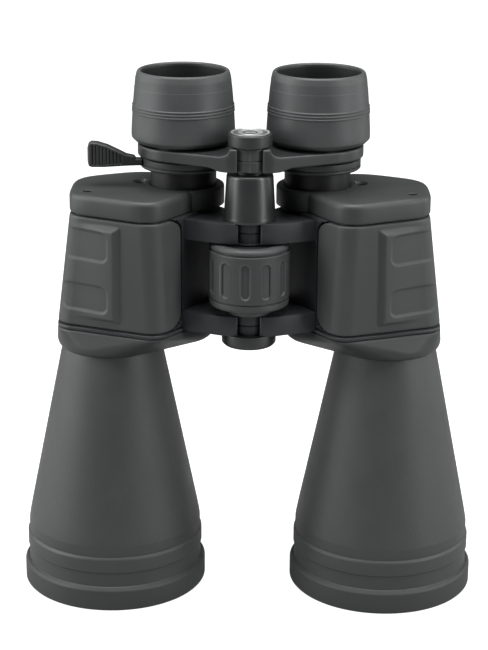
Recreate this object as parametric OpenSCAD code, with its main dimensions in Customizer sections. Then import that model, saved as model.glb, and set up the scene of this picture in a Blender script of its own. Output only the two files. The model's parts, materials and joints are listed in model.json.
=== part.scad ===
// Zoom Porro-prism astronomy binoculars, standing on the objective rings.
// Z runs along the optical axes with the eyepieces up, z = 0 is the lower face of the
// objective rings, x = 0 the plane between the halves, y = 0 the plane of the objective axes.

/* [Objectives] */
// Distance from the middle plane to each objective axis
obj_x = 57.7; // [57:0.1:60]
// Outer radius of the rubber objective ring
ring_r = 39.1; // [38.6:0.1:40]
// Height of the rubber objective ring
ring_h = 10.2; // [9:0.1:11]
// Radius of the barrel at its front end
barrel_r = 37.8; // [37.4:0.1:38]
// Clear radius of the objective lens
lens_r = 31.2; // [29:0.1:31.5]

/* [Eyepieces] */
// Distance from the middle plane to each eyepiece axis in the rest pose
eye_x = 27.65; // [27:0.05:28.5]
// Eyepiece axis position in y
eye_y = 5; // [4:0.5:6]
// Radius of the sliding eyepiece tube
tube_r = 13.6; // [13.3:0.1:13.7]
// Largest outer radius of the rubber eyecup
cup_r = 21.3; // [20.5:0.05:21.6]
// Height of the eyecup rim above the ground plane
cup_top = 222; // [219:1:225]

/* [Hinge] */
// Position of the hinge axis in y
hinge_y = -16; // [-17:0.5:-15]
// Radius of the hinge pins
pin_r = 5; // [4.6:0.1:5.2]
// Running clearance of the turning lugs and rings, radial
run = 0.03; // [0.02:0.01:0.06]
// Half width of the open notch in front of the hinge lugs
notch = 4.5; // [4.4:0.1:5.2]

/* [Focusing] */
// Outer radius of the focus wheel
wheel_r = 16.6; // [16:0.1:16.9]
// Number of finger slots round the focus wheel
wheel_slots = 12; // [8:1:14]
// Radius of the focusing post in the wheel
post_r = 3; // [2.6:0.1:3.2]

/* [Zoom] */
// Outer radius of the zoom rings
zoom_r = 17.8; // [17:0.1:18.2]
// Number of ribs on the zoom lever
lever_ribs = 9; // [6:1:10]

/* [Tripod socket] */
// Wall radius of the tripod thread, quarter inch
tripod_r = 3.175; // [3.175]
// Depth of the tripod thread
tripod_depth = 6; // [5:0.5:6.5]

/* [Hidden] */
$fn = 64;
hn = 32;
arm_notch = 4.9; // half width of the notch between the bridge arms
zb = 117;      // bottom of the prism housing
za = 119;      // bottom of the armour
zt = 166.5;    // top of the housing and armour
zc = 174.8;    // top of the eyepiece cover
zs = 140;      // top of the prism shelf
ob = [-obj_x, 0];
ey = [-eye_x, eye_y];
shift = 21.5;  // offset of the beam in each prism
// outline of the housing: centre x, y and radius at the bottom and at the top
OUT_B = [[-39.5, -21, 8], [-71, -8, 8.7], [-66, 5.5, 14.1], [-48, 5, 21.8], [-eye_x, eye_y, 12]];
OUT_T = [[-41, -23, 7.8], [-64.9, -10.5, 8.5], [-60.9, 6, 12.5], [-45, 5, 20.3], [-eye_x, eye_y, 15]];

function mix(a, b, t) = a + (b - a) * t;
// outline circles at height z
function outline(z) = [for (i = [0:4]) mix(OUT_B[i], OUT_T[i], (z - zb) / (zt - zb))];

// solid lofted between two heights of the housing outline, set in by s
module loft(z0, z1, s) {
    hull() {
        for (c = outline(z0)) translate([c[0], c[1], z0]) cylinder(r = c[2] - s, h = 0.01, $fn = hn);
        for (c = outline(z1)) translate([c[0], c[1], z1 - 0.01]) cylinder(r = c[2] - s, h = 0.01, $fn = hn);
    }
}
module at(p, z = 0) { translate([p[0], p[1], z]) children(); }
module ring(ro, ri, h) { difference() { cylinder(r = ro, h = h); translate([0, 0, -1]) cylinder(r = ri, h = h + 2); } }
// right-hand parts are the left-hand ones mirrored
module side(s) { if (s < 0) children(); else mirror([1, 0, 0]) children(); }
// front view window of the armour: everything outboard of x = -27.5 with rounded inner corners
module window(x1, z0, z1, r) {
    translate([0, 60, 0]) rotate([90, 0, 0]) linear_extrude(height = 120) union() {
        translate([-120, z0]) square([120 + x1 - r, z1 - z0]);
        translate([-60, z0 + r]) square([60 + x1, z1 - z0 - 2 * r]);
        for (z = [z0 + r, z1 - r]) translate([x1 - r, z]) circle(r = r, $fn = 12);
    }
}

// hinge lug plate of one side, z0 to z1, with the disc on the pin between d0 and d1
module lug_plate(z0, z1, d0, d1) {
    difference() {
        translate([0, 0, z0]) linear_extrude(height = z1 - z0) polygon([[-36, -12],
            [-27.6, -13.2], [-27.45, -17.2], [-12, -24], [-8, -24.8], [-notch, -25], [-notch, hinge_y + 8.3],
            [-7, -4.5], [-11.4, 3.3], [-16, 8], [-30, 10]]);
        // room for the other half's disc
        if (d0 > z0) translate([0, hinge_y, z0 - 1]) cylinder(r = 8.6, h = d0 - z0 + 0.9);
        if (d1 < z1) translate([0, hinge_y, d1 + 0.1]) cylinder(r = 8.6, h = z1 - d1 + 1);
    }
    translate([0, hinge_y, d0]) cylinder(r = 8.1, h = d1 - d0);
    translate([-10, hinge_y - 5, d0]) cube([6, 10, d1 - d0]);
}

module prism_housing(s) {
    fit = s < 0 ? pin_r : pin_r + run;
    difference() {
        union() {
            loft(za, zt, 2);
            difference() { loft(zb, zt, 0); difference() { translate([-100, -60, za]) cube([100, 120, 60]); translate([-27.5, -60, za]) cube([60, 120, 60]); corners(); } }
            // the left lugs are the outer ones, the right lugs lie between them
            lug_plate(156.6, 165, s < 0 ? 160.9 : 156.6, s < 0 ? 165 : 160.7);
            lug_plate(117.7, 126, s < 0 ? 117.7 : 121.9, s < 0 ? 121.7 : 126);
        }
        // cavity for the prisms, open at both ends
        loft(zb - 1, zt + 1, 3.3);
        // room for the sliding eyepiece tube
        at(ey, 159.4) cylinder(r = tube_r + 0.15, h = 20);
        translate([0, hinge_y, 110]) cylinder(r = fit, h = 60);
        // turning room for the other half's disc in the wall, if it reaches it
        translate([0, hinge_y, 126.5]) cylinder(r = wheel_r + 0.5, h = 29.6);
    }
}
// corner lands of the housing left bare by the armour's rounded corners
module corners() {
    r = 6;
    for (z = [za, zt - r]) translate([-27.5 - r, -60, z]) difference() {
        cube([r, 120, r]);
        translate([0, -1, z == za ? r : 0]) rotate([-90, 0, 0]) cylinder(r = r, h = 130, $fn = 12);
    }
}

module armor() {
    difference() {
        intersection() { loft(za, zt, 0); window(-27.5, za, zt, 6); }
        loft(za - 1, zt + 1, 2);
    }
}

module eyepiece_cover() {
    difference() {
        union() {
            hull() {
                for (i = [0:3]) { c = OUT_T[i]; translate([c[0], c[1], zt]) cylinder(r = c[2], h = 7.4, $fn = hn); }
                for (i = [0:3]) { c = OUT_T[i]; translate([c[0], c[1], zt]) cylinder(r = c[2] - 0.9, h = zc - zt, $fn = hn); }
                translate([ey[0], ey[1], zt]) cylinder(r = 12, h = zc - zt, $fn = hn);
            }
            at(ey, zt) cylinder(r = 16.9, h = zc - zt);
        }
        hull() for (i = [0:3]) { c = OUT_T[i]; translate([c[0], c[1], zt - 1]) cylinder(r = c[2] - 3.3, h = 7, $fn = hn); }
        // sliding bore for the eyepiece tube
        at(ey, 150) cylinder(r = tube_r + 0.04, h = 40);
        // counterbore beside the eyepiece and the outer screw hole
        translate([-45, 7, zc - 2.2]) cylinder(r = 2.6, h = 5);
        translate([-45, 7, zc - 7]) cylinder(r = 1.2, h = 9);
        translate([-66, -11, zc - 1]) cylinder(r = 1.9, h = 5);
    }
    // land under the tube bore and the counterbore, closed over the prisms
    difference() {
        at(ey, zt) cylinder(r = 16.9, h = zc - zt);
        at(ey, 150) cylinder(r = tube_r + 0.04, h = 40);
        translate([-45, 7, zc - 2.2]) cylinder(r = 2.6, h = 5);
        translate([-45, 7, zc - 7]) cylinder(r = 1.2, h = 9);
    }
    difference() {
        translate([-45, 7, zc - 6]) cylinder(r = 4.6, h = 4);
        translate([-45, 7, zc - 7]) cylinder(r = 1.2, h = 9);
        translate([-45, 7, zc - 2.2]) cylinder(r = 2.6, h = 5);
        at(ey, 150) cylinder(r = tube_r + 0.04, h = 40);
    }
}

module cover_screws() {
    translate([-45, 7, zc - 6]) cylinder(r = 1.2, h = 4);
    difference() {
        translate([-45, 7, zc - 2.2]) cylinder(r = 2.4, h = 1.4);
        translate([-45 - 2.5, 6.7, zc - 1.3]) cube([5, 0.6, 2]);
        translate([-45.3, 7 - 2.5, zc - 1.3]) cube([0.6, 5, 2]);
    }
    difference() {
        translate([-66, -11, zc - 1]) cylinder(r = 1.7, h = 0.7);
        translate([-68, -11.2, zc - 0.6]) cube([4, 0.4, 2]);
    }
}

module objective_cover() {
    b = OUT_B;
    difference() {
        union() {
            hull() {
                for (c = b) translate([c[0], c[1], zb - 0.01]) cylinder(r = c[2], h = 0.01, $fn = hn);
                at(ob, 109) cylinder(r = 22.8, h = 0.1, $fn = 48);
                translate([-27.5, 3.5, 110.6]) cylinder(r = 12, h = 0.1, $fn = hn);
                at(ob, 106.5) cylinder(r = 21.8, h = 0.1, $fn = 48);
                translate([-29, 3, 108.3]) cylinder(r = 10.5, h = 0.1, $fn = hn);
            }
        }
        hull() {
            for (c = b) translate([c[0], c[1], zb + 1]) cylinder(r = c[2] - 3.3, h = 0.01, $fn = hn);
            at(ob, 111) cylinder(r = 20.2, h = 0.1, $fn = 48);
            translate([-28, 5, 113]) cylinder(r = 7.5, h = 0.1, $fn = hn);
        }
        at(ob, 100) cylinder(r = 19, h = 14);
        // room for the clamping nut
        at(ob, 111) cylinder(r = 20.2, h = 4);
    }
}

module barrel() {
    at(ob) rotate_extrude($fn = 96) polygon([[36.1, 3], [barrel_r, 3], [barrel_r, ring_h],
        [barrel_r - 0.6, ring_h + 0.3], [barrel_r - 0.6, 16.6], [barrel_r - 0.15, 17.2], [barrel_r - 0.15, 22.4],
        [37.2, 23.2], [37, 24.4], [36.9, 28.3], [36.4, 31.2], [35.8, 34.4], [21.05, 106.5], [19, 106.5], [19, 115], [17.4, 115], [17.4, 106], [33.2, 33],
        [34.6, 27], [35.2, 22], [36.1, 19]]);
    // nut that clamps the objective cover to the barrel
    at(ob, 111) ring(20.1, 19, 3);
}

module objective_ring() {
    at(ob) rotate_extrude($fn = 96) polygon([[33.6, 0], [37.6, 0], [38.5, 0.4], [ring_r, 1.6], [ring_r, 8.6],
        [38.7, 9.7], [38.1, ring_h], [barrel_r, ring_h], [barrel_r, 3], [33.6, 3]]);
}

module lens_cell() {
    at(ob) rotate_extrude($fn = 96) polygon([[33.4, 5], [36.1, 5], [36.1, 19], [33, 19], [29.8, 18.9],
        [29.8, 17.6], [lens_r, 17.6], [lens_r, 8.6], [33.4, 8.6]]);
}
module lens_retainer() {
    difference() {
        at(ob, 7.2) ring(33.4, 30, 1.4);
        for (a = [0, 180]) at(ob) rotate([0, 0, a]) translate([29.5, -1, 6.4]) cube([1.9, 2, 1.4]);
    }
}
// cemented doublet: front biconvex crown and rear meniscus flint as one unit
module objective_lens() {
    at(ob) intersection() {
        translate([0, 0, 3]) cylinder(r = lens_r, h = 20);
        translate([0, 0, 6.2 + 180]) sphere(r = 180, $fn = 360);
        translate([0, 0, 18.4 - 300]) sphere(r = 300, $fn = 360);
    }
}

module prism_shelf() {
    difference() {
        hull() for (c = outline(138)) translate([c[0], c[1], zs - 2]) cylinder(r = c[2] - 3.9, h = 2, $fn = hn);
        // beam openings
        at(ob, 130) cylinder(r = 8.2, h = 20);
        translate([mid[0], mid[1], 130]) cylinder(r = 8, h = 20);
        at([-30.2, 2.2], 130) cylinder(r = 6.4, h = 20);
    }
}
// turning point of the beam between the two prisms
u1 = [0.814, -0.581];
u2 = [0.581, 0.814];
mid = [-obj_x + shift * u1[0], shift * u1[1]];
// roof prism body: long face at z = 0, apex up, along local x, round ends
module porro() {
    intersection() {
        translate([0, 8.6, 0]) rotate([90, 0, 0]) linear_extrude(height = 17.2) polygon([[-20.1, 0], [20.1, 0],
            [1.6, 18.5], [-1.6, 18.5]]);
        union() {
            translate([-11.5, -8.6, -1]) cube([23, 17.2, 24]);
            for (x = [-11.5, 11.5]) translate([x, 0, -1]) cylinder(r = 8.6, h = 24);
        }
    }
}
module rear_prism() {
    translate([-obj_x + shift / 2 * u1[0], shift / 2 * u1[1], zs]) rotate([0, 0, atan2(u1[1], u1[0])]) porro();
}
module front_prism() {
    translate([mid[0] + shift / 2 * u2[0], mid[1] + shift / 2 * u2[1], zs - 2]) rotate([0, 0, atan2(u2[1], u2[0])]) rotate([180, 0, 0]) porro();
}
// spring clips over the prism apexes, standing on the shelf
module clip(h) {
    translate([-2, -9.2, 0]) cube([4, 0.55, h + 0.6]);
    translate([-2, 8.65, 0]) cube([4, 0.55, h + 0.6]);
    translate([-2, -9.2, h]) cube([4, 18.4, 0.6]);
}
module prism_clips() {
    translate([-obj_x + shift / 2 * u1[0], shift / 2 * u1[1], zs]) rotate([0, 0, atan2(u1[1], u1[0])]) clip(18.5);
    translate([mid[0] + shift / 2 * u2[0], mid[1] + shift / 2 * u2[1], zs - 2]) rotate([0, 0, atan2(u2[1], u2[0])]) rotate([180, 0, 0]) clip(18.5);
}

module lower_hinge_pin() {
    color("#8a8c8e") {
        translate([0, hinge_y, 0]) difference() {
            union() {
                translate([0, 0, 117.7]) cylinder(r = pin_r, h = 8.3);
                translate([0, 0, 126]) cylinder(r = 4, h = 6.5);
            }
            translate([0, 0, 110]) cylinder(r = 4.2, h = 12);
        }
    }
}
module upper_hinge_bush() {
    color("#8a8c8e") {
        translate([0, hinge_y, 156.7]) ring(pin_r, post_r + 0.05, 11.6);
    }
}
module thrust_washers() {
    color("#55585a") {
        translate([0, hinge_y, 126.05]) ring(9, 4.05, 3.2);
        translate([0, hinge_y, 156.05]) ring(8, 3.4, 0.5);
    }
}
module tapered_sleeve() {
    color("#3a3c3e") {
        translate([0, hinge_y, 0]) rotate_extrude() polygon([[pin_r, 165], [10.6, 165], [10.6, 166.4], [10.5, 167],
            [9.5, 183.2], [9, 184.1], [5.56, 184.1], [5.56, 180.3], [7.2, 179.1], [8, 167.4], [pin_r, 167.4]]);
    }
}
module end_boss() {
    color("#444645") {
        translate([0, hinge_y, 0]) difference() {
            union() {
                translate([0, 0, 113]) cylinder(r = 11.2, h = 4.7);
                translate([0, 0, 112.1]) cylinder(r1 = 10.3, r2 = 11.2, h = 0.9);
            }
            translate([0, 0, 110]) cylinder(r = 4.2, h = 12);
        }
    }
}
module tripod_insert() {
    color("#b08d4a") {
        translate([0, hinge_y, 112.3]) difference() {
            cylinder(r = 4.2, h = tripod_depth + 0.6);
            translate([0, 0, -1]) cylinder(r = tripod_r, h = tripod_depth + 1);
        }
    }
}

module focus_wheel_hub() {
    color("#2a2c2d") {
        translate([0, hinge_y, 129.4]) difference() {
            cylinder(r = 13.4, h = 26.4);
            translate([0, 0, -1]) cylinder(r = 4 + run, h = 4.6);
            translate([0, 0, -1]) cylinder(r = post_r + run, h = 40);
        }
    }
}
module focus_wheel_grip() {
    color("#4c4e4f") {
        w = wheel_r;
        difference() {
            translate([0, hinge_y, 0]) rotate_extrude() polygon([[13.4, 129.4], [w - 1.5, 129.4], [w - 0.5, 129.9],
                [w - 0.3, 132.5], [w - 0.7, 132.7], [w - 0.7, 133.1], [w, 133.3], [w, 152.9], [w - 0.7, 153.1],
                [w - 0.7, 153.5], [w - 0.3, 153.7], [w - 0.5, 155], [w - 1.8, 155.8], [13.4, 155.8]]);
            for (i = [0:wheel_slots - 1]) translate([0, hinge_y, 0]) rotate([0, 0, -95 + i * 360 / wheel_slots]) {
                translate([w - 0.7, -1.9, 137.2]) cube([3, 3.8, 11]);
                for (z = [137.2, 148.2]) translate([w - 0.7, 0, z]) rotate([0, 90, 0]) cylinder(r = 1.9, h = 3);
            }
        }
    }
}

module focus_post() {
    color("#2b2d2f") {
        translate([0, hinge_y, 0]) rotate_extrude() polygon([[0, 136], [post_r - 0.5, 136], [post_r, 136.5],
            [post_r, 172.5], [5.5, 172.5], [5.5, 185.7], [4.2, 185.7], [4.2, 195.3], [0, 195.3]]);
    }
}
module bridge_cap() {
    color("#2a2c2d") {
        translate([0, hinge_y, 0]) rotate_extrude() polygon([[0, 195.3], [8.4, 195.3], [8.9, 195.8], [8.9, 200.2],
            [8.5, 200.7], [8.0, 200.7], [8.0, 200], [0, 200]]);
    }
}
module cap_disc() {
    color("#b4b6b6") {
        translate([0, hinge_y, 200]) rotate_extrude() polygon([[0, 0], [7.9, 0], [7.9, 0.6], [7.2, 0.9], [0, 1.0]]);
    }
}

// arm from the post to the ring round one eyepiece tube; d0 to d1 is its lug on the post
module bridge_arm(d0, d1, fit) {
    difference() {
        union() {
            difference() {
                union() {
                    translate([0, 0, 187.1]) linear_extrude(height = 4.8) hull() {
                        translate(ey) circle(r = 18.8, $fn = 72);
                        translate([-6, hinge_y]) circle(r = 8, $fn = 48);
                    }
                    // raised block beside the lug
                    hull() {
                        translate([-arm_notch - 1.5, hinge_y - 8.6, 185.8]) cube([1.5, 16, 9.4]);
                        translate([-15, hinge_y - 4.5, 187.1]) cube([1, 9, 4.8]);
                    }
                }
                translate([-arm_notch, hinge_y - 30, 180]) cube([40, 60, 30]);
                // room for the other arm's lug
                translate([0, hinge_y, d0 < 187 ? d1 + 0.1 : 180]) cylinder(r = 8.4, h = d0 < 187 ? 20 : d0 - 180.1);
            }
            translate([0, hinge_y, d0]) cylinder(r = 8, h = d1 - d0);
            translate([-10, hinge_y - 5, d0]) cube([6, 10, d1 - d0]);
        }
        translate([0, hinge_y, 180]) cylinder(r = fit, h = 20);
        at(ey, 180) cylinder(r = tube_r, h = 20);
    }
}

module eyepiece_tube(s) {
    difference() {
        at(ey, 163) ring(tube_r, 12.4, 28.9);
        // window for the zoom ring's drive pins; both halves turn the same way, so the mirrored one runs back
        at(ey) for (a = [0, 180]) rotate([0, 0, a + (s < 0 ? 0 : -72)]) translate([0, 0, 184]) linear_extrude(height = 1.8)
            polygon([[0, 0], [20 * cos(-14), 20 * sin(-14)], [20 * cos(18), 20 * sin(18)], [20 * cos(52), 20 * sin(52)], [20 * cos(86), 20 * sin(86)]]);
    }
}
// zoom ring outside the tube, cam sleeve inside it, joined by two drive pins
module zoom_ring() {
    difference() {
        union() {
            at(ey, 182.1) ring(zoom_r, tube_r + 0.04, 4.5);
            at(ey, 164) ring(12.36, 11.4, 22);
            for (a = [0, 180]) at(ey, 184.9) rotate([0, 0, a]) rotate([0, 90, 0]) translate([0, 0, 11.6]) cylinder(r = 0.75, h = 4);
        }
        at(ey, 183.4) difference() { cylinder(r = 30, h = 0.5); translate([0, 0, -1]) cylinder(r = zoom_r - 0.5, h = 3); }
    }
}
module zoom_cell() {
    at(ey) rotate_extrude() polygon([[9.2, 165.5], [11.34, 165.5], [11.34, 172], [10, 172], [10, 167], [9.2, 167]]);
}
module zoom_lens() {
    at(ey) intersection() {
        translate([0, 0, 167.02]) cylinder(r = 10, h = 5);
        translate([0, 0, 171.2 - 45]) sphere(r = 45, $fn = 240);
    }
}
module ocular_sleeve() {
    at(ey, 186.4) ring(12.34, 11.2, 11.7);
}
module ocular_cell() {
    at(ey) rotate_extrude() polygon([[12.38, 192.9], [17.2, 192.9], [18.5, 193.4], [18.5, 208.4], [17.8, 209], [14.4, 209],
        [11.4, 207.9], [11.4, 207.2], [13, 207.2], [13, 200.6], [10.8, 200.6], [10.8, 199.2], [12.38, 199.2]]);
}
module eye_lens() {
    at(ey) intersection() {
        translate([0, 0, 200.6]) cylinder(r = 13, h = 6.6);
        translate([0, 0, 206.9 - 40]) sphere(r = 40, $fn = 240);
        translate([0, 0, 200.7 + 60]) sphere(r = 60, $fn = 240);
    }
}
module eyecup() {
    c = cup_r;
    at(ey) rotate_extrude($fn = 96) polygon([[18.5, 193], [c - 1.2, 193], [c, 194.1], [c, 197.5], [c - 0.42, 205.1],
        [c - 0.18, 205.4], [c - 0.18, 205.8], [c - 0.52, 206], [c - 0.52, 206.3], [c - 0.26, 206.6], [c - 0.26, 207],
        [c - 0.62, 207.2], [c - 0.62, 207.5], [c - 0.36, 207.8], [c - 0.36, 208.2], [c - 0.72, 208.5], [c - 1.2, 212.5],
        [c - 1.3, 213], [c - 1.8, 219.5], [c - 2.2, cup_top - 0.8], [c - 2.8, cup_top], [c - 3.7, cup_top],
        [c - 4.3, cup_top - 0.8], [c - 3.8, 209.5], [18.5, 209.2]]);
}

module zoom_lever() {
    color("#2f3132") {
        // neck on the zoom ring, then the paddle, 5 mm thick
        difference() {
            translate([0, 1.5, 0]) rotate([90, 0, 0]) linear_extrude(height = 5) polygon([[-44.2, 183.4], [-44.2, 186.5],
                [-46.9, 186.5], [-47.4, 187.6], [-51, 188.3], [-54.5, 190], [-58.5, 191.9], [-62.5, 193.2], [-64.6, 193.3],
                [-66, 192.4], [-66.6, 191], [-66.7, 184.6], [-66.1, 183.2], [-65, 182.6], [-60, 182.6], [-52, 183.2]]);
            at(ey, 170) cylinder(r = zoom_r, h = 30);
            // grip grooves on the front face
            for (i = [0:lever_ribs - 1]) translate([-64.6 + i * 1.4, -4, 184]) cube([0.7, 0.9, 8.8 - max(0, i - 2) * 0.72]);
        }
    }
}

// ---- the pieces of each half, named and coloured ----
module left_prism_housing() { color("#26282a") prism_housing(-1); }
module left_armor() { color("#4a4c4b") armor(); }
module left_eyepiece_cover() { color("#3b3d3e") eyepiece_cover(); }
module left_objective_cover() { color("#3f4140") objective_cover(); }
module left_cover_screws() { color("#191a1b") cover_screws(); }
module left_barrel() { color("#4b4c4b") barrel(); }
module left_objective_ring() { color("#3f4240") objective_ring(); }
module left_lens_cell() { color("#1e1f20") lens_cell(); }
module left_lens_retainer() { color("#151617") lens_retainer(); }
module left_objective_lens() { color("#7f9fb8", 0.5) objective_lens(); }
module left_prism_shelf() { color("#8e9092") prism_shelf(); }
module left_rear_prism() { color("#a9c4cf", 0.6) rear_prism(); }
module left_front_prism() { color("#a9c4cf", 0.6) front_prism(); }
module left_prism_clips() { color("#9c9d9e") prism_clips(); }
module right_prism_housing() { color("#26282a") side(1) prism_housing(1); }
module right_armor() { color("#4a4c4b") side(1) armor(); }
module right_eyepiece_cover() { color("#3b3d3e") side(1) eyepiece_cover(); }
module right_objective_cover() { color("#3f4140") side(1) objective_cover(); }
module right_cover_screws() { color("#191a1b") side(1) cover_screws(); }
module right_barrel() { color("#4b4c4b") side(1) barrel(); }
module right_objective_ring() { color("#3f4240") side(1) objective_ring(); }
module right_lens_cell() { color("#1e1f20") side(1) lens_cell(); }
module right_lens_retainer() { color("#151617") side(1) lens_retainer(); }
module right_objective_lens() { color("#7f9fb8", 0.5) side(1) objective_lens(); }
module right_prism_shelf() { color("#8e9092") side(1) prism_shelf(); }
module right_rear_prism() { color("#a9c4cf", 0.6) side(1) rear_prism(); }
module right_front_prism() { color("#a9c4cf", 0.6) side(1) front_prism(); }
module right_prism_clips() { color("#9c9d9e") side(1) prism_clips(); }
module left_bridge_arm() { color("#37393a") bridge_arm(190.4, 195.2, 4.2); }
module left_eyepiece_tube() { color("#222425") eyepiece_tube(-1); }
module left_ocular_sleeve() { color("#6b6d6e") ocular_sleeve(); }
module left_ocular_cell() { color("#202122") ocular_cell(); }
module left_eye_lens() { color("#7f9fb8", 0.5) eye_lens(); }
module left_eyecup() { color("#4d4f4f") eyecup(); }
module left_zoom_ring() { color("#343637") zoom_ring(); }
module left_zoom_cell() { color("#1b1c1d") zoom_cell(); }
module left_zoom_lens() { color("#7f9fb8", 0.5) zoom_lens(); }
module right_bridge_arm() { color("#37393a") side(1) bridge_arm(185.8, 190.2, 4.2 + run); }
module right_eyepiece_tube() { color("#222425") side(1) eyepiece_tube(1); }
module right_ocular_sleeve() { color("#6b6d6e") side(1) ocular_sleeve(); }
module right_ocular_cell() { color("#202122") side(1) ocular_cell(); }
module right_eye_lens() { color("#7f9fb8", 0.5) side(1) eye_lens(); }
module right_eyecup() { color("#4d4f4f") side(1) eyecup(); }
module right_zoom_ring() { color("#343637") side(1) zoom_ring(); }
module right_zoom_cell() { color("#1b1c1d") side(1) zoom_cell(); }
module right_zoom_lens() { color("#7f9fb8", 0.5) side(1) zoom_lens(); }

left_prism_housing();
left_armor();
left_eyepiece_cover();
left_objective_cover();
left_cover_screws();
left_barrel();
left_objective_ring();
left_lens_cell();
left_lens_retainer();
left_objective_lens();
left_prism_shelf();
left_rear_prism();
left_front_prism();
left_prism_clips();
right_prism_housing();
right_armor();
right_eyepiece_cover();
right_objective_cover();
right_cover_screws();
right_barrel();
right_objective_ring();
right_lens_cell();
right_lens_retainer();
right_objective_lens();
right_prism_shelf();
right_rear_prism();
right_front_prism();
right_prism_clips();
lower_hinge_pin();
upper_hinge_bush();
thrust_washers();
tapered_sleeve();
end_boss();
tripod_insert();
focus_wheel_hub();
focus_wheel_grip();
focus_post();
bridge_cap();
cap_disc();
left_bridge_arm();
left_eyepiece_tube();
left_ocular_sleeve();
left_ocular_cell();
left_eye_lens();
left_eyecup();
left_zoom_ring();
zoom_lever();
left_zoom_cell();
left_zoom_lens();
right_bridge_arm();
right_eyepiece_tube();
right_ocular_sleeve();
right_ocular_cell();
right_eye_lens();
right_eyecup();
right_zoom_ring();
right_zoom_cell();
right_zoom_lens();
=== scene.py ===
import bpy, bmesh, math
import numpy as np
from mathutils import Vector, Matrix
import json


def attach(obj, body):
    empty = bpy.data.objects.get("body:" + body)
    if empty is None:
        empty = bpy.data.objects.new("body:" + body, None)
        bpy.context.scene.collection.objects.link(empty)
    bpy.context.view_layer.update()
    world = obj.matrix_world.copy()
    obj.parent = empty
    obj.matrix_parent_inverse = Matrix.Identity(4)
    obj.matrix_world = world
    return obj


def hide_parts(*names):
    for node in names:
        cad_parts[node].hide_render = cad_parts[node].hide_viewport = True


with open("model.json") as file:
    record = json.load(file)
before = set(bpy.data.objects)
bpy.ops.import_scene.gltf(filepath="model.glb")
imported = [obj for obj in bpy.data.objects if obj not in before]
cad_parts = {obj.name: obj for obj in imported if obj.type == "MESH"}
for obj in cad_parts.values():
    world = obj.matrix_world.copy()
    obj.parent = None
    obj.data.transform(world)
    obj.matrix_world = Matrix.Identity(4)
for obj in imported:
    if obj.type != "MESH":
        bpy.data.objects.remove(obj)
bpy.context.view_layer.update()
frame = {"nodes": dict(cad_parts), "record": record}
N = frame["nodes"]
SC = bpy.context.scene
MM = 0.001

# ---------------------------------------------------------------- camera
SENSOR = 36.0
FOCAL_PX, IMG_H = 1900.0, 650.0
cam_data = bpy.data.cameras.new("camera")
cam_data.sensor_fit = "VERTICAL"
cam_data.sensor_height = SENSOR
cam_data.lens = FOCAL_PX / IMG_H * SENSOR
cam_data.clip_start, cam_data.clip_end = 0.01, 20
cam = bpy.data.objects.new("camera", cam_data)
SC.collection.objects.link(cam)
EL, AZ, ROLL = math.radians(17.91), math.radians(-0.62), math.radians(0.41)
dv = Vector((math.sin(AZ) * math.cos(EL), math.cos(AZ) * math.cos(EL), -math.sin(EL)))
r0 = Vector((math.cos(AZ), -math.sin(AZ), 0))
u0 = r0.cross(dv)
rv = r0 * math.cos(ROLL) + u0 * math.sin(ROLL)
uv = -r0 * math.sin(ROLL) + u0 * math.cos(ROLL)
cam.matrix_world = Matrix(((rv.x, uv.x, -dv.x, 0.00609), (rv.y, uv.y, -dv.y, -0.761597),
                           (rv.z, uv.z, -dv.z, 0.360799), (0, 0, 0, 1)))
SC.camera = cam
SC.view_settings.view_transform = "Standard"

# ---------------------------------------------------------------- materials
def nt(name):
    m = bpy.data.materials.new(name)
    m.use_nodes = True
    t = m.node_tree
    b = t.nodes["Principled BSDF"]
    tc = t.nodes.new("ShaderNodeTexCoord")
    return m, t, b, tc.outputs["Object"]


def noise_tex(t, co, scale, detail=3.0, rough=0.55, dist=0.0):
    n = t.nodes.new("ShaderNodeTexNoise")
    n.inputs["Scale"].default_value = scale
    n.inputs["Detail"].default_value = detail
    n.inputs["Roughness"].default_value = rough
    n.inputs["Distortion"].default_value = dist
    t.links.new(co, n.inputs["Vector"])
    return n.outputs["Fac"]


def voro_tex(t, co, scale, feature="F1", rnd=1.0):
    n = t.nodes.new("ShaderNodeTexVoronoi")
    n.feature = feature
    n.inputs["Scale"].default_value = scale
    n.inputs["Randomness"].default_value = rnd
    t.links.new(co, n.inputs["Vector"])
    return n.outputs["Distance"]


def ramp(t, fac, stops):
    n = t.nodes.new("ShaderNodeValToRGB")
    e = n.color_ramp.elements
    e[0].position, e[0].color = stops[0][0], (*stops[0][1], 1)
    e[1].position, e[1].color = stops[-1][0], (*stops[-1][1], 1)
    for p, c in stops[1:-1]:
        x = e.new(p)
        x.color = (*c, 1)
    t.links.new(fac, n.inputs["Fac"])
    return n.outputs["Color"]


def maprange(t, fac, a, b, c, d):
    n = t.nodes.new("ShaderNodeMapRange")
    for k, v in zip(("From Min", "From Max", "To Min", "To Max"), (a, b, c, d)):
        n.inputs[k].default_value = v
    t.links.new(fac, n.inputs["Value"])
    return n.outputs["Result"]


def math_n(t, op, a, b):
    n = t.nodes.new("ShaderNodeMath")
    n.operation = op
    for i, v in enumerate((a, b)):
        if isinstance(v, (int, float)):
            n.inputs[i].default_value = v
        else:
            t.links.new(v, n.inputs[i])
    return n.outputs[0]


def bump(t, h, dist, strength=1.0, prev=None):
    n = t.nodes.new("ShaderNodeBump")
    n.inputs["Distance"].default_value = dist
    n.inputs["Strength"].default_value = strength
    t.links.new(h, n.inputs["Height"])
    if prev is not None:
        t.links.new(prev, n.inputs["Normal"])
    return n.outputs["Normal"]


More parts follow.
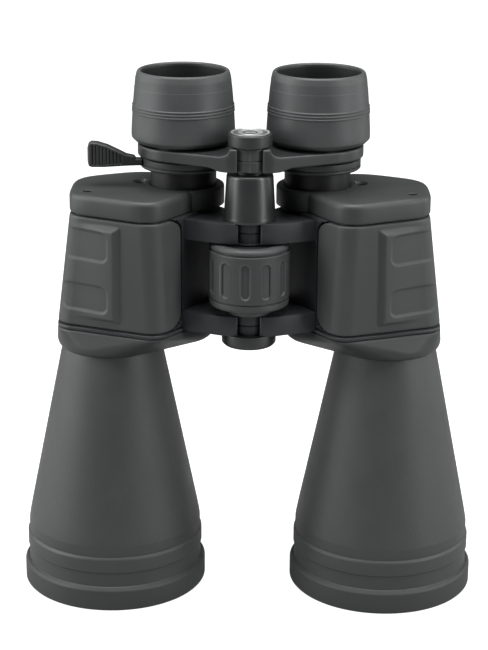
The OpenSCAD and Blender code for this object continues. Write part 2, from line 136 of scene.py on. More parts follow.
def wear_and_edge_highlight(t, colour, edge, amount, radius=0.0006):
    """Convex edges paler where Pointiness is high: partly rubbed wear, partly a painted edge highlight."""
    g = t.nodes.new("ShaderNodeNewGeometry")
    f = maprange(t, g.outputs["Pointiness"], 0.5, 0.62, 0.0, amount)
    mx = t.nodes.new("ShaderNodeMix")
    mx.data_type = "RGBA"
    t.links.new(f, mx.inputs["Factor"])
    t.links.new(colour, mx.inputs["A"])
    mx.inputs["B"].default_value = (*edge, 1)
    return mx.outputs["Result"]


def skin(name, col, rough, grain=1500.0, grain_mm=0.02, var=0.12, rvar=0.08, spec=0.5, edge=None, edge_amt=0.3,
         metallic=0.0, cells=None, cells_mm=0.05, sheen=0.0, smudge=45.0, coat=0.0, coat_rough=0.3):
    """Paint, moulded plastic or rubber: mottled colour, uneven gloss, moulding grain."""
    m, t, b, co = nt(name)
    big = noise_tex(t, co, smudge, 4, 0.6)
    fine = noise_tex(t, co, grain, 2, 0.6)
    lo = tuple(c * (1 - var) for c in col)
    hi = tuple(c * (1 + var) for c in col)
    c1 = ramp(t, big, [(0.3, lo), (0.7, hi)])
    mx = t.nodes.new("ShaderNodeMix")
    mx.data_type = "RGBA"
    mx.blend_type = "MULTIPLY"
    mx.inputs["Factor"].default_value = 0.5
    t.links.new(c1, mx.inputs["A"])
    t.links.new(ramp(t, fine, [(0.25, (0.82, 0.82, 0.82)), (0.75, (1, 1, 1))]), mx.inputs["B"])
    out = mx.outputs["Result"]
    # paler convex edges: partly wear, partly painted edge highlight
    if edge:
        out = wear_and_edge_highlight(t, out, edge, edge_amt)
    t.links.new(out, b.inputs["Base Color"])
    rr = math_n(t, "ADD", maprange(t, big, 0.3, 0.7, rough - rvar, rough + rvar), maprange(t, fine, 0.3, 0.7, -0.03, 0.03))
    t.links.new(rr, b.inputs["Roughness"])
    b.inputs["Specular IOR Level"].default_value = spec
    b.inputs["Metallic"].default_value = metallic
    if sheen:
        b.inputs["Sheen Weight"].default_value = sheen
        b.inputs["Sheen Roughness"].default_value = 0.5
    if coat:
        b.inputs["Coat Weight"].default_value = coat
        b.inputs["Coat Roughness"].default_value = coat_rough
    nrm = bump(t, fine, grain_mm * MM)
    if cells:
        warp = t.nodes.new("ShaderNodeVectorMath")
        warp.operation = "ADD"
        nz = t.nodes.new("ShaderNodeTexNoise")
        nz.inputs["Scale"].default_value = cells * 0.6
        t.links.new(co, nz.inputs["Vector"])
        sc = t.nodes.new("ShaderNodeVectorMath")
        sc.operation = "SCALE"
        sc.inputs["Scale"].default_value = 0.6 / cells
        t.links.new(nz.outputs["Color"], sc.inputs[0])
        t.links.new(co, warp.inputs[0])
        t.links.new(sc.outputs[0], warp.inputs[1])
        v = voro_tex(t, warp.outputs[0], cells, "DISTANCE_TO_EDGE")
        h = maprange(t, v, 0.0, 0.22, 0.0, 1.0)
        nrm = bump(t, h, cells_mm * MM, 1.0, nrm)
    t.links.new(nrm, b.inputs["Normal"])
    return m


def metal(name, col, rough, scale=(1, 1, 60), aniso=0.3, var=0.06, bump_mm=0.004):
    """Turned or brushed metal: fine lines, slight colour drift."""
    m, t, b, co = nt(name)
    mp = t.nodes.new("ShaderNodeMapping")
    mp.inputs["Scale"].default_value = scale
    t.links.new(co, mp.inputs["Vector"])
    lines = noise_tex(t, mp.outputs["Vector"], 220, 4, 0.7)
    big = noise_tex(t, co, 60, 3, 0.5)
    c = ramp(t, lines, [(0.2, tuple(x * (1 - var) for x in col)), (0.8, tuple(min(1, x * (1 + var)) for x in col))])
    t.links.new(c, b.inputs["Base Color"])
    t.links.new(math_n(t, "ADD", maprange(t, lines, 0.2, 0.8, rough - 0.06, rough + 0.06),
                       maprange(t, big, 0.3, 0.7, -0.04, 0.04)), b.inputs["Roughness"])
    b.inputs["Metallic"].default_value = 1.0
    b.inputs["Anisotropic"].default_value = aniso
    t.links.new(bump(t, lines, bump_mm * MM), b.inputs["Normal"])
    return m


def glass(name, tint, coat_col, rough=0.02, ior=1.52):
    """Coated optical glass: clear body, faint dust and a coloured coating reflection."""
    m, t, b, co = nt(name)
    dust = noise_tex(t, co, 900, 3, 0.6)
    c = ramp(t, dust, [(0.3, tint), (0.8, tuple(x * 0.94 for x in tint))])
    t.links.new(c, b.inputs["Base Color"])
    t.links.new(maprange(t, dust, 0.4, 0.8, rough, rough + 0.05), b.inputs["Roughness"])
    b.inputs["Transmission Weight"].default_value = 0.92
    b.inputs["IOR"].default_value = ior
    b.inputs["Specular Tint"].default_value = (*coat_col, 1)
    b.inputs["Coat Weight"].default_value = 0.35
    b.inputs["Coat Roughness"].default_value = 0.04
    b.inputs["Coat Tint"].default_value = (*coat_col, 1)
    return m


M = {}
# the edge colours below pale the convex edges: partly wear, partly painted edge highlight, strongest on the arms,
# sleeve and wheel
M["armor"] = skin("armor_rubber", (0.036, 0.0395, 0.038), 0.56, grain=1900, grain_mm=0.02, var=0.08, spec=0.42, edge=(0.075, 0.08, 0.077), edge_amt=0.5)
M["housing"] = skin("housing_paint", (0.012, 0.0135, 0.0155), 0.47, grain=1400, grain_mm=0.012, var=0.12, spec=0.40, edge=(0.04, 0.043, 0.046), edge_amt=0.5)
M["cover"] = skin("cover_paint", (0.0265, 0.0285, 0.0285), 0.50, grain=2100, grain_mm=0.016, var=0.08, spec=0.42, edge=(0.06, 0.064, 0.064), edge_amt=0.5)
M["barrel"] = skin("barrel_paint", (0.034, 0.0365, 0.0355), 0.50, grain=2600, grain_mm=0.012, var=0.07, spec=0.45,
                   cells=1500, cells_mm=0.03, edge=(0.07, 0.074, 0.072), edge_amt=0.4)
M["ring"] = skin("ring_rubber", (0.030, 0.0325, 0.0315), 0.58, grain=1700, grain_mm=0.018, var=0.09, spec=0.40, edge=(0.06, 0.064, 0.062), edge_amt=0.5)
M["screw"] = metal("screw_black", (0.03, 0.03, 0.03), 0.38, bump_mm=0.002)
M["anod"] = skin("anodised_black", (0.0075, 0.008, 0.0082), 0.5, grain=3000, grain_mm=0.006, var=0.1, spec=0.35)
M["lens"] = glass("coated_glass", (0.86, 0.93, 0.97), (0.45, 0.75, 0.62))
M["prism"] = glass("prism_glass", (0.93, 0.96, 0.95), (0.9, 0.95, 0.95), 0.03, 1.517)
M["sheet"] = metal("sheet_steel", (0.45, 0.46, 0.47), 0.34, (60, 1, 1))
M["arm"] = skin("arm_paint", (0.0185, 0.020, 0.0205), 0.42, grain=1800, grain_mm=0.012, var=0.08, spec=0.48, edge=(0.10, 0.105, 0.105), edge_amt=0.6)
M["zoom"] = skin("zoom_plastic", (0.017, 0.0185, 0.0185), 0.50, grain=2200, grain_mm=0.014, var=0.09, spec=0.42, edge=(0.06, 0.064, 0.062), edge_amt=0.5)
M["bright"] = metal("bright_aluminium", (0.5, 0.5, 0.51), 0.3, (1, 1, 80))
M["eyecup"] = skin("eyecup_rubber", (0.040, 0.043, 0.044), 0.54, grain=1500, grain_mm=0.02, var=0.08, spec=0.5, edge=(0.08, 0.085, 0.083), edge_amt=0.5, smudge=60)
M["steel"] = metal("steel", (0.42, 0.43, 0.44), 0.3)
M["washer"] = skin("washer_plastic", (0.05, 0.05, 0.05), 0.5, var=0.1)
# painted shade: the inside wall of the eyecup is darkened to 0.16 of the rubber's colour by radius from the eyepiece
# axis
et = M["eyecup"].node_tree
es = et.nodes.new("ShaderNodeSeparateXYZ")
et.links.new(et.nodes["Texture Coordinate"].outputs["Object"], es.inputs[0])
ex = math_n(et, "SUBTRACT", math_n(et, "ABSOLUTE", es.outputs["X"], 0.0), 0.02765)
ey = math_n(et, "SUBTRACT", es.outputs["Y"], 0.005)
er = math_n(et, "POWER", math_n(et, "ADD", math_n(et, "MULTIPLY", ex, ex), math_n(et, "MULTIPLY", ey, ey)), 0.5)
ep = et.nodes["Principled BSDF"]
cup_inside_shade_mix = et.nodes.new("ShaderNodeMix")
cup_inside_shade_mix.data_type = "RGBA"
cup_inside_shade_mix.blend_type = "MULTIPLY"
cup_inside_shade_mix.inputs["Factor"].default_value = 1.0
et.links.new(ep.inputs["Base Color"].links[0].from_socket, cup_inside_shade_mix.inputs["A"])
et.links.new(ramp(et, maprange(et, math_n(et, "ADD", er, math_n(et, "MULTIPLY", math_n(et, "SUBTRACT", es.outputs["Z"], 0.2206), 0.045)), 0.0172, 0.0176, 0.0, 1.0), [(0.0, (0.16, 0.16, 0.16)), (1.0, (1, 1, 1))]), cup_inside_shade_mix.inputs["B"])
et.links.new(cup_inside_shade_mix.outputs["Result"], ep.inputs["Base Color"])
M["sleeve"] = skin("sleeve_paint", (0.0105, 0.0115, 0.012), 0.37, grain=1600, grain_mm=0.0015, var=0.08, rvar=0.03, spec=0.55, edge=(0.09, 0.095, 0.095), edge_amt=0.6, coat=0.15, coat_rough=0.32)
M["brass"] = metal("brass", (0.70, 0.52, 0.24), 0.32)
M["hub"] = skin("hub_plastic", (0.018, 0.0195, 0.020), 0.44, grain=1900, grain_mm=0.010, var=0.09, spec=0.45, edge=(0.06, 0.063, 0.062), edge_amt=0.5)
M["wheel"] = skin("wheel_rubber", (0.034, 0.037, 0.0375), 0.55, grain=1700, grain_mm=0.018, var=0.08, spec=0.42, edge=(0.11, 0.115, 0.115), edge_amt=0.7)
M["disc"] = metal("disc_silver", (0.46, 0.47, 0.46), 0.48, (1, 1, 1), aniso=0.3)
dt = M["disc"].node_tree
off = dt.nodes.new("ShaderNodeVectorMath")
off.operation = "ADD"
off.inputs[1].default_value = (0, 0.016, 0)
dt.links.new(dt.nodes["Texture Coordinate"].outputs["Object"], off.inputs[0])
sep = dt.nodes.new("ShaderNodeSeparateXYZ")
dt.links.new(off.outputs[0], sep.inputs[0])
rad = math_n(dt, "POWER", math_n(dt, "ADD", math_n(dt, "POWER", sep.outputs["X"], 2.0), math_n(dt, "POWER", sep.outputs["Y"], 2.0)), 0.5)
band = ramp(dt, maprange(dt, rad, 0.0, 0.008, 0.0, 1.0), [(0.0, (1, 1, 1)), (0.28, (1, 1, 1)), (0.31, (0.25, 0.25, 0.26)), (0.37, (0.25, 0.25, 0.26)), (0.40, (1, 1, 1)),
                                                         (0.62, (1, 1, 1)), (0.66, (0.45, 0.45, 0.46)), (0.84, (0.45, 0.45, 0.46)), (0.88, (1, 1, 1)), (1.0, (1, 1, 1))])
pr = dt.nodes["Principled BSDF"]
src = pr.inputs["Base Color"].links[0].from_socket
mm = dt.nodes.new("ShaderNodeMix")
mm.data_type = "RGBA"
mm.blend_type = "MULTIPLY"
mm.inputs["Factor"].default_value = 1.0
dt.links.new(src, mm.inputs["A"])
dt.links.new(band, mm.inputs["B"])
dt.links.new(mm.outputs["Result"], pr.inputs["Base Color"])
SLOTM = {"housing_paint": "housing", "armor_rubber": "armor", "cover_paint": "cover", "screw_black": "screw", "barrel_paint": "barrel",
         "ring_rubber": "ring", "anodised_black": "anod", "coated_glass": "lens", "prism_glass": "prism", "sheet_steel": "sheet",
         "arm_paint": "arm", "zoom_plastic": "zoom", "bright_aluminium": "bright", "eyecup_rubber": "eyecup", "steel": "steel",
         "washer_plastic": "washer", "sleeve_paint": "sleeve", "brass": "brass", "hub_plastic": "hub", "wheel_rubber": "wheel",
         "disc_silver": "disc"}
for sp in frame["record"]["subparts"]:
    ob = N[sp["node"]]
    ob.data.materials.clear()
    ob.data.materials.append(M[SLOTM[sp["material_slot"]]])

# ---------------------------------------------------------------- mesh helpers
def make(name, V, F, mat, body, replaces=(), angle=38, mirror=False, recalc=True):
    V = np.asarray(V, float).reshape(-1, 3).copy()
    if mirror:
        V[:, 0] *= -1
        F = [tuple(reversed(f)) for f in F]
    me = bpy.data.meshes.new(name)
    me.from_pydata((V * MM).tolist(), [], [tuple(int(i) for i in f) for f in F])
    me.update()
    bm = bmesh.new()
    bm.from_mesh(me)
    bmesh.ops.remove_doubles(bm, verts=bm.verts, dist=2e-6)
    bmesh.ops.dissolve_degenerate(bm, edges=bm.edges, dist=1e-7)
    if recalc:
        bmesh.ops.recalc_face_normals(bm, faces=bm.faces)
    bm.to_mesh(me)
    bm.free()
    for p in me.polygons:
        p.use_smooth = True
    me.set_sharp_from_angle(angle=math.radians(angle))
    ob = bpy.data.objects.new(name, me)
    SC.collection.objects.link(ob)
    me.materials.append(M[mat])
    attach(ob, body)
    if replaces:
        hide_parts(*replaces)
    return ob


def grid(P, wrap_u=False, wrap_v=False):
    nv, nu = P.shape[:2]
    F = []
    for j in range(nv if wrap_v else nv - 1):
        for i in range(nu if wrap_u else nu - 1):
            a, b = j * nu + i, j * nu + (i + 1) % nu
            c, d = ((j + 1) % nv) * nu + (i + 1) % nu, ((j + 1) % nv) * nu + i
            F.append((a, b, c, d))
    return P.reshape(-1, 3), F


def join(*parts):
    V, F, o = [], [], 0
    for v, f in parts:
        v = np.asarray(v, float).reshape(-1, 3)
        V.append(v)
        F += [tuple(i + o for i in q) for q in f]
        o += len(v)
    return np.concatenate(V), F


def rounded(pts, r=0.3, seg=4, closed=True, radii=None):
    """Polyline with each corner rounded."""
    pts = [np.array(p, float) for p in pts]
    n, out = len(pts), []
    for i, p in enumerate(pts):
        if not closed and i in (0, n - 1):
            out.append(p)
            continue
        a, b = pts[i - 1], pts[(i + 1) % n]
        rr = r if radii is None or radii.get(i) is None else radii[i]
        u, v = a - p, b - p
        lu, lv = np.linalg.norm(u), np.linalg.norm(v)
        if lu < 1e-9 or lv < 1e-9:
            out.append(p)
            continue
        u, v = u / lu, v / lv
        ang = math.acos(max(-1, min(1, float(u @ v))))
        if ang > math.radians(176) or rr <= 0:
            out.append(p)
            continue
        d = min(rr / math.tan(ang / 2), 0.45 * lu, 0.45 * lv)
        for k in range(seg + 1):
            t = k / seg
            out.append((1 - t) ** 2 * (p + u * d) + 2 * t * (1 - t) * p + t * t * (p + v * d))
    return np.array(out)


def revolve(pts, at=(0, 0), n=128, closed=True):
    """Turned shape from an (r, z) outline."""
    pts = np.asarray(pts, float)
    th = np.linspace(0, 2 * math.pi, n, endpoint=False)
    P = np.stack([at[0] + pts[:, 0:1] * np.cos(th), at[1] + pts[:, 0:1] * np.sin(th),
                  np.repeat(pts[:, 1:2], n, 1)], -1)
    V, F = grid(P, wrap_u=True, wrap_v=closed)
    if not closed:
        m = len(pts)
        for row, flip in ((0, True), (m - 1, False)):
            if pts[row, 0] > 1e-6:
                c = len(V)
                V = np.vstack([V, [at[0], at[1], pts[row, 1]]])
                for i in range(n):
                    a, b = row * n + i, row * n + (i + 1) % n
                    F.append((c, b, a) if flip else (c, a, b))
    return V, F


def bevel_prism(poly, z0, z1, r=0.5, seg=3, r_side=None):
    """Upright plate with rounded edges."""
    bm = bmesh.new()
    vs = [bm.verts.new((x, y, z0)) for x, y in poly]
    f = bm.faces.new(vs)
    ext = bmesh.ops.extrude_face_region(bm, geom=[f])
    bmesh.ops.translate(bm, vec=(0, 0, z1 - z0), verts=[g for g in ext["geom"] if isinstance(g, bmesh.types.BMVert)])
    bmesh.ops.recalc_face_normals(bm, faces=bm.faces)
    bm.normal_update()
    es = [e for e in bm.edges if e.calc_face_angle(0) > math.radians(20)]
    bmesh.ops.bevel(bm, geom=es, offset=r, segments=seg, profile=0.5, affect="EDGES", clamp_overlap=True)
    V = [tuple(v.co) for v in bm.verts]
    F = [tuple(v.index for v in f.verts) for f in bm.faces]
    bm.verts.index_update()
    F = [tuple(v.index for v in f.verts) for f in bm.faces]
    bm.free()
    return np.array(V), F


def smooth01(x):
    x = np.clip(x, 0, 1)
    return x * x * (3 - 2 * x)


# outline of the housing: centre x, y and radius at the bottom and at the top
OUT_B = [(-39.5, -21, 8), (-71, -8, 8.7), (-66, 5.5, 14.1), (-48, 5, 21.8), (-27.65, 5, 12)]
OUT_T = [(-41, -23, 7.8), (-64.9, -10.5, 8.5), (-60.9, 6, 12.5), (-45, 5, 20.3), (-27.65, 5, 15)]
ZB, ZA, ZT, ZC = 117.0, 119.0, 166.5, 174.8
EY = (-27.65, 5.0)
OB = (-57.7, 0.0)
HY = -16.0


def circles_at(z):
    t = (z - ZB) / (ZT - ZB)
    return np.array([[a + (b - a) * t for a, b in zip(p, q)] for p, q in zip(OUT_B, OUT_T)])


def hull_line(C, inset=0.0, n=720, start=-90.0, dense=7200):
    """Closed outline round circles, evenly spaced along its length, with outward normals; starts where it faces `start`."""
    th = math.radians(start) - np.linspace(0, 2 * math.pi, dense, endpoint=False)
    nx, ny = np.cos(th), np.sin(th)
    k = (C[:, 0:1] * nx + C[:, 1:2] * ny + C[:, 2:3]).argmax(0)
    p = np.stack([C[k, 0] + (C[k, 2] - inset) * nx, C[k, 1] + (C[k, 2] - inset) * ny], 1)
    seg = np.linalg.norm(np.roll(p, -1, 0) - p, axis=1)
    s = np.concatenate([[0], np.cumsum(seg)])
    pp = np.vstack([p, p[:1]])
    q = np.linspace(0, s[-1], n, endpoint=False)
    return np.stack([np.interp(q, s, pp[:, 0]), np.interp(q, s, pp[:, 1])], 1), s[-1]


def line_normals(p, closed=True):
    if closed:
        t = np.roll(p, -1, 0) - np.roll(p, 1, 0)
    else:
        t = np.gradient(p, axis=0)
    nrm = np.stack([-t[:, 1], t[:, 0]], 1)
    nrm /= np.linalg.norm(nrm, axis=1)[:, None] + 1e-12
    return nrm


# ---------------------------------------------------------------- armour
def relief(x, z):
    """Height of the grip panel over the armour's skin, by distance along x and z, in mm."""
    edge_x = -52.1 - (z - 143) * -0.016
    fall = smooth01((x + 73.5) / 20.0)                      # full at the inner bevel, none at the outer side
    hx = np.clip((edge_x - x) / 2.3, 0, 1)
    hz = np.clip((163.4 - z) / 1.9, 0, 1) * np.clip((z - 122.6) / 1.6, 0, 1)
    h = 2.15 * np.minimum(hx, hz) * fall
    # two recessed finger pads
    for z0, z1, x1 in ((147.9, 161.0, -56.3), (126.0, 138.0, -56.6)):
        xc, zc, hw, hh, rr = (x1 - 77.5) / 2, (z0 + z1) / 2, (x1 + 77.5) / 2, (z1 - z0) / 2, 3.4
        qx, qz = np.abs(x - xc) - hw + rr, np.abs(z - zc) - hh + rr
        sd = np.hypot(np.maximum(qx, 0), np.maximum(qz, 0)) + np.minimum(np.maximum(qx, qz), 0) - rr
        h = h - 0.75 * smooth01(-sd / 0.8) * smooth01((x + 80.2 - (z - 117) * 0.137) / 4.5)
    return h


def armour():
    X0, R = -27.5, 6.0
    z0, z1 = ZA + 0.25, ZT - 0.55
    rows = []
    zz = np.unique(np.concatenate([z0 + np.array([0, .12, .3, .55, .85, 1.2, 1.7]), np.arange(z0 + 2.1, z1 - 2.0, 0.42),
                                   z1 - np.array([0, .12, .3, .55, .85, 1.2, 1.7])]))
    nu = 330
    P = np.zeros((len(zz), nu, 3))
    Q = np.zeros((len(zz), nu, 3))
    for j, z in enumerate(zz):
        dz = min(z - z0, z1 - z)
        cor = R - math.sqrt(max(0, R * R - (R - dz) ** 2)) if dz < R else 0.0
        xe = X0 - cor
        p, L = hull_line(circles_at(z), 0, 4000, start=0.0)      # starts facing +x, runs clockwise over -y
        i = np.where(p[:, 0] < xe)[0]
        a, b = i[0], i[-1]
        # exact crossing points at both ends
        def cross(k0, k1):
            t = (xe - p[k0, 0]) / (p[k1, 0] - p[k0, 0] + 1e-12)
            return p[k0] + (p[k1] - p[k0]) * t
        q = np.vstack([cross(a - 1, a), p[a:b + 1], cross(b, b + 1)])
        s = np.concatenate([[0], np.cumsum(np.linalg.norm(np.diff(q, axis=0), axis=1))])
        u = np.linspace(0, 1, nu)
        e = 1.6 / s[-1]
        u = np.concatenate([[0, e * .08, e * .2, e * .38, e * .6, e * .8], np.linspace(e, 1 - e, nu - 12), [1 - e * .8, 1 - e * .6, 1 - e * .38, 1 - e * .2, 1 - e * .08, 1]])
        ss = u * s[-1]
        pt = np.stack([np.interp(ss, s, q[:, 0]), np.interp(ss, s, q[:, 1])], 1)
        nr = line_normals(pt, False)
        # distance to the armour's edge, for its rounded border
        de_s = np.minimum(ss, s[-1] - ss)
        de = np.minimum(de_s, dz)
        rr = 1.1
        drop = np.where(de < rr, rr - np.sqrt(np.clip(rr * rr - (rr - de) ** 2, 0, None)), 0)
        h = relief(pt[:, 0], np.full(len(pt), z)) - drop
        P[j, :, :2] = pt + nr * h[:, None]
        P[j, :, 2] = z
        Q[j, :, :2] = pt - nr * 1.9
        Q[j, :, 2] = z
    # the inner side closes the skin
    V1, F1 = grid(P)
    V2, F2 = grid(Q)
    F2 = [tuple(reversed(f)) for f in F2]
    nvr, n0 = len(zz), len(V1)
    V = np.vstack([V1, V2])
    F = F1 + [tuple(i + n0 for i in f) for f in F2]
    rim = [i for i in range(nu)] + [j * nu + nu - 1 for j in range(1, nvr)] + [(nvr - 1) * nu + i for i in range(nu - 2, -1, -1)] + [j * nu for j in range(nvr - 2, 0, -1)]
    for k in range(len(rim)):
        a, b = rim[k], rim[(k + 1) % len(rim)]
        F.append((a, a + n0, b + n0, b))
    return V, F


V, F = armour()
make("left_armor_skin", V, F, "armor", "left_half", ("left_armor",), angle=60)
make("right_armor_skin", V, F, "armor", "right_half", ("right_armor",), angle=60, mirror=True)


# ---------------------------------------------------------------- prism housing with its hinge plates
def housing_wall():
    z0, z1 = ZB, ZT
    zz = np.unique(np.round(np.concatenate([[z0, z0 + .1, z0 + .25, z0 + .45, 118.35, 118.55, 118.7, 118.8, 118.9, 119.0, 119.1],
                                            np.arange(119.6, 165.6, 1.0), [165.6, 165.8, 166.0, 166.2, 166.4, 166.5]]), 3))
    n = 900
    P = np.zeros((len(zz), n, 3))
    for j, z in enumerate(zz):
        p, L = hull_line(circles_at(z), 0, n, start=0.0)
        nr = line_normals(p)
        # hidden part under the armour is set in; the flange under it stands full, with a seam each side
        dz = min(z - ZA, ZT - z)
        R = 6.0
        cor = R - math.sqrt(max(0, R * R - (R - max(0, dz)) ** 2)) if dz < R else 0.0
        xe = -27.5 - cor
        under = (p[:, 0] < xe + 0.15) & (z > 119.05)
        ins = np.where(under, 1.6, 0.0)
        seam = 0.0
        if z < ZB + 0.5:
            t = (ZB + 0.5 - z) / 0.5
            seam = 0.45 * t * t
        if 118.3 < z < 119.3:
            t = (z - 118.3) / 0.5
            seam = max(seam, 0.7 * min(1, t) ** 2 if z < 119.05 else 0.5)
        if z > 165.7:
            seam = max(seam, 0.5 * ((z - 165.7) / 0.8) ** 2 + 0.15)
        ins = np.maximum(ins, seam)
        P[j, :, :2] = p - nr * ins[:, None]
        P[j, :, 2] = z
    # the inner side of the casting, thinner where the eyepiece tube slides, closes the wall at both ends
    inner = []
    for z in (z1, 163.0, 159.0, 150.0, 138.0, 126.0, z0):
        p, L = hull_line(circles_at(z), 0, n, start=0.0)
        w = np.clip(np.hypot(p[:, 0] - EY[0], p[:, 1] - EY[1]) - 13.9, 1.1, 3.3)
        inner.append(np.column_stack([p - line_normals(p) * w[:, None], np.full(n, z)]))
    V, F = grid(np.concatenate([P, np.array(inner)]), wrap_u=True, wrap_v=True)
    return V, F


def disc(r, z0, z1, rin=None, edge=0.35, n=96, at=(0, HY)):
    if rin is None:
        return revolve(rounded([(0, z0), (r, z0), (r, z1), (0, z1)], edge, 3, closed=False), at, n, closed=False)
    return revolve(rounded([(rin, z0), (r, z0), (r, z1), (rin, z1)], edge, 3), at, n)


def lugs(left):
    parts = []
    full = [(-36, -12), (-27.6, -13.2), (-27.45, -17.2), (-12, -24), (-8, -24.8), (-5, -25), (-4.5, -24.5), (-4.5, -8.1), (-4.9, -7.6), (-7, -4.5),
            (-11.4, 3.3), (-16, 8), (-30, 10)]
    arc = [(8.6 * math.cos(a), HY + 8.6 * math.sin(a)) for a in np.linspace(math.pi + math.acos(4.5 / 8.6), math.pi - math.acos(4.5 / 8.6), 9)]
    # the plate stops at the wall round the sliding eyepiece tube
    bore = [(EY[0] + 14.2 * math.cos(a), EY[1] + 14.2 * math.sin(a)) for a in np.radians(np.linspace(1.6, -116, 18))]
    cut = full[:7] + arc + full[7:11] + bore
    for (z0, z1, d0, d1) in ((156.6, 165.0, 160.9 if left else 156.6, 165.0 if left else 160.7),
                             (117.7, 126.0, 117.7 if left else 121.9, 121.7 if left else 126.0)):
        parts.append(bevel_prism(cut, z0, z1, 0.28, 2))
        rin = 5.0 if left else 5.03
        parts.append(disc(8.1, d0, d1, rin, 0.3))
        # web between plate and disc, on the disc's own level
        web = [(-10, HY - 6.5), (-6.6, HY - 6.6), (-6.2, HY - 5), (-6.2, HY + 5), (-6.6, HY + 6.6), (-10, HY + 6.5)]
        parts.append(bevel_prism(web, d0 + 0.02, d1 - 0.02, 0.1, 1))
    return parts


for side, mir in (("left", False), ("right", True)):
    V, F = join(housing_wall(), *lugs(not mir))
    make(side + "_housing_shell", V, F, "housing", side + "_half", (side + "_prism_housing",), mirror=mir, angle=40)


# ---------------------------------------------------------------- eyepiece cover
def soft_line(C, n, sigma, out):
    """Outline with its corners eased: circular smoothing along its length, then set out a little."""
    p, L = hull_line(C, 0, n, start=0.0)
    k = np.fft.rfftfreq(n, L / n)
    g = np.exp(-2 * (math.pi * k * sigma) ** 2)
    q = np.stack([np.fft.irfft(np.fft.rfft(p[:, i]) * g, n) for i in (0, 1)], 1)
    return q + line_normals(q) * out


def eyepiece_cover():
    z0, z1 = ZT + 0.15, ZC
    CT = np.array(OUT_T[:4] + [(EY[0], EY[1], 12.0)])
    p = soft_line(CT, 720, 3.6, 0.45)
    nr = line_normals(p)
    prof = [(0.55, z0), (0.25, z0 + 0.12), (0.06, z0 + 0.35), (0, z0 + 0.7), (0, z1 - 2.2), (0.12, z1 - 1.5), (0.42, z1 - 0.85), (0.95, z1 - 0.32),
            (1.6, z1 - 0.06), (2.4, z1)]
    n = 720
    rows = []
    for ins, z in prof:
        rows.append(np.column_stack([p - nr * ins, np.full(n, z)]))
    # the top falls in softly towards its middle
    base = p - nr * 2.4
    c = np.array([-46.0, 1.0])
    for t in (0.1, 0.25, 0.45, 0.65, 0.85, 1.0):
        q = base + (c - base) * t
        rows.append(np.column_stack([q, np.full(n, z1 - 0.10 * min(1, t * 4))]))
    P = np.array(rows)
    V, F = grid(P, wrap_u=True)
    collar = revolve(rounded([(13.64, ZT + 0.2), (16.9, ZT + 0.2), (16.9, ZC + 0.02), (13.64, ZC + 0.02)], 0.3, 4, radii={1: 0.2, 2: 1.3, 3: 0.5}), EY, 160)
    return (V, F), collar


def cutter(parts):
    V, F = join(*parts)
    me = bpy.data.meshes.new("cut")
    me.from_pydata((V * MM).tolist(), [], [tuple(int(i) for i in f) for f in F])
    bm = bmesh.new(); bm.from_mesh(me)
    bmesh.ops.recalc_face_normals(bm, faces=bm.faces)
    bm.to_mesh(me); bm.free()
    o = bpy.data.objects.new("cut", me)
    SC.collection.objects.link(o)
    return o


def boolean(ob, cut, op="DIFFERENCE"):
    md = ob.modifiers.new("b", "BOOLEAN")
    md.operation = op
    md.solver = "EXACT"
    md.object = cut
    dg = bpy.context.evaluated_depsgraph_get()
    me = bpy.data.meshes.new_from_object(ob.evaluated_get(dg))
    ob.modifiers.clear()
    old = ob.data
    ob.data = me
    bpy.data.meshes.remove(old)
    bpy.data.objects.remove(cut)
    for p in ob.data.polygons:
        p.use_smooth = True
    ob.data.set_sharp_from_angle(angle=math.radians(38))
    return ob


for side, mir in (("left", False), ("right", True)):
    sg = -1 if mir else 1
    (V, F), collar = eyepiece_cover()
    # close the cover below so that it is a solid lid before it is bored
    n = 720
    c = len(V)
    V = np.vstack([V, [[-46, 1, ZT + 0.15]]])
    F = list(F) + [(c, i, (i + 1) % n) for i in range(n)]
    ob = make(side + "_cover_lid", V, F, "cover", side + "_half", (side + "_eyepiece_cover",), mirror=mir)
    cuts = [revolve([(0, 150), (13.7, 150), (13.7, 190), (0, 190)], (EY[0] * sg, EY[1]), 128, closed=False)]
    # flared screw recess beside the eyepiece and the small outer one
    cuts.append(revolve(rounded([(0, ZC - 2.2), (2.5, ZC - 2.2), (2.6, ZC - 1.5), (4.1, ZC + 0.05), (4.1, ZC + 3), (0, ZC + 3)], 0.35, 4, closed=False), (-45 * sg, 7), 64, closed=False))
    cuts.append(revolve(rounded([(0, ZC - 1.0), (1.85, ZC - 1.0), (1.9, ZC - 0.35), (2.2, ZC + 0.05), (2.2, ZC + 3), (0, ZC + 3)], 0.15, 3, closed=False), (-66 * sg, -11), 48, closed=False))
    cuts.append(revolve([(0, 150), (16.4, 150), (16.4, ZC - 0.6), (0, ZC - 0.6)], (EY[0] * sg, EY[1]), 128, closed=False))
    for cpart in cuts:
        boolean(ob, cutter([cpart]))
    V, F = collar
    make(side + "_cover_collar", V, F, "cover", side + "_half", (), mirror=mir)


# ---------------------------------------------------------------- objective cover
def remesh_hull(points, voxel, smooth=6, cut_r=None):
    bm = bmesh.new()
    for p in points:
        bm.verts.new(p)
    bmesh.ops.convex_hull(bm, input=bm.verts)
    loose = [v for v in bm.verts if not v.link_faces]
    bmesh.ops.delete(bm, geom=loose, context="VERTS")
    me = bpy.data.meshes.new("hull")
    bm.to_mesh(me)
    bm.free()
    o = bpy.data.objects.new("hull", me)
    SC.collection.objects.link(o)
    o.scale = (1, 1, 1)
    r = o.modifiers.new("r", "REMESH")
    r.mode = "VOXEL"
    r.voxel_size = voxel
    s = o.modifiers.new("s", "SMOOTH")
    s.factor, s.iterations = 0.5, smooth
    dg = bpy.context.evaluated_depsgraph_get()
    m2 = bpy.data.meshes.new_from_object(o.evaluated_get(dg))
    V = np.zeros(len(m2.vertices) * 3)
    m2.vertices.foreach_get("co", V)
    F = [tuple(p.vertices) for p in m2.polygons]
    bpy.data.objects.remove(o)
    return V.reshape(-1, 3), F


